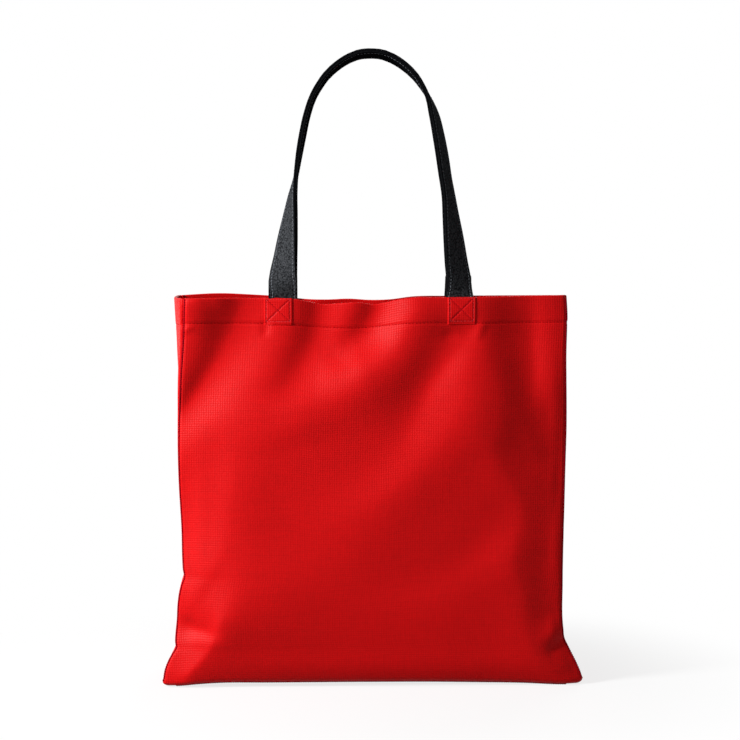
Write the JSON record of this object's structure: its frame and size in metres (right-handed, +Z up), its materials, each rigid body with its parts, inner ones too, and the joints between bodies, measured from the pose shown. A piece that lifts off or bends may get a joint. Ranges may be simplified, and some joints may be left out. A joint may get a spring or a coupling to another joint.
{
  "type": "foldable tote bag",
  "caption": "Open-topped canvas tote bag with pleated side gussets and a creased base that let it fold flat, and leather strap handles that stand up or hang down.",
  "frame": {"origin": "on the floor, under the middle of the base", "axes": "+Z up towards the rim, +X to the right seen from the front, +Y from the front panel to the back panel"},
  "size_m": [0.4044, 0.1726, 0.6179],
  "materials": {
    "canvas": "matt plain-weave canvas",
    "strap_leather": "grained, satin"
  },
  "bodies": {
    "back_side": {"back_panel": "canvas", "back_hem_facing": "canvas", "back_left_patch": "canvas", "back_right_patch": "canvas", "back_left_strap_end": "strap_leather", "back_right_strap_end": "strap_leather"},
    "left_pleat_back": {"left_gusset_back": "canvas", "left_gusset_back_facing": "canvas"},
    "left_pleat_front": {"left_gusset_front": "canvas", "left_gusset_front_facing": "canvas"},
    "front_side": {"front_panel": "canvas", "front_hem_facing": "canvas", "front_left_patch": "canvas", "front_right_patch": "canvas", "front_left_strap_end": "strap_leather", "front_right_strap_end": "strap_leather"},
    "right_pleat_back": {"right_gusset_back": "canvas", "right_gusset_back_facing": "canvas"},
    "right_pleat_front": {"right_gusset_front": "canvas", "right_gusset_front_facing": "canvas"},
    "base_half_back": {"base_back": "canvas"},
    "base_half_front": {"base_front": "canvas"},
    "front_handle": {"front_handle_leather": "strap_leather", "front_handle_lining": "strap_leather"},
    "back_handle": {"back_handle_leather": "strap_leather", "back_handle_lining": "strap_leather"}
  },
  "joints": [
    {"name": "fold_flat", "type": "hinge", "parent": "left_pleat_back", "child": "left_pleat_front", "pos_m": [-0.18415, 0, 0.19], "axis": [0, 0, -1], "range_deg": [0, 164]},
    {"name": "left_back_seam", "type": "hinge", "parent": "back_side", "child": "left_pleat_back", "pos_m": [-0.18265, 0.04485, 0.19], "axis": [0, 0, 1], "range_deg": [0, 82]},
    {"name": "left_front_seam", "type": "hinge", "parent": "left_pleat_front", "child": "front_side", "pos_m": [-0.18265, -0.04485, 0.19], "axis": [0, 0, 1], "range_deg": [0, 82]},
    {"name": "right_back_seam", "type": "hinge", "parent": "back_side", "child": "right_pleat_back", "pos_m": [0.18265, 0.04485, 0.19], "axis": [0, 0, 1], "range_deg": [-82, 0]},
    {"name": "right_crease", "type": "hinge", "parent": "right_pleat_back", "child": "right_pleat_front", "pos_m": [0.18415, 0, 0.19], "axis": [0, 0, 1], "range_deg": [0, 164]},
    {"name": "base_back_seam", "type": "hinge", "parent": "back_side", "child": "base_half_back", "pos_m": [0, 0.04485, -0.00015], "axis": [1, 0, 0], "range_deg": [0, 82]},
    {"name": "base_crease", "type": "hinge", "parent": "base_half_back", "child": "base_half_front", "pos_m": [0, 0, 0.00135], "axis": [1, 0, 0], "range_deg": [-164, 0]},
    {"name": "front_handle_swing", "type": "hinge", "parent": "front_side", "child": "front_handle", "pos_m": [0, -0.0443, 0.396], "axis": [1, 0, 0], "range_deg": [-5, 138]},
    {"name": "back_handle_swing", "type": "hinge", "parent": "back_side", "child": "back_handle", "pos_m": [0, 0.0443, 0.396], "axis": [1, 0, 0], "range_deg": [0, 140]}
  ],
  "couplings": [
    {"joint": "left_back_seam", "follows": "fold_flat", "ratio": 0.5},
    {"joint": "left_front_seam", "follows": "fold_flat", "ratio": 0.5},
    {"joint": "right_back_seam", "follows": "fold_flat", "ratio": -0.5},
    {"joint": "right_crease", "follows": "fold_flat", "ratio": 1},
    {"joint": "base_back_seam", "follows": "fold_flat", "ratio": 0.5},
    {"joint": "base_crease", "follows": "fold_flat", "ratio": -1}
  ]
}
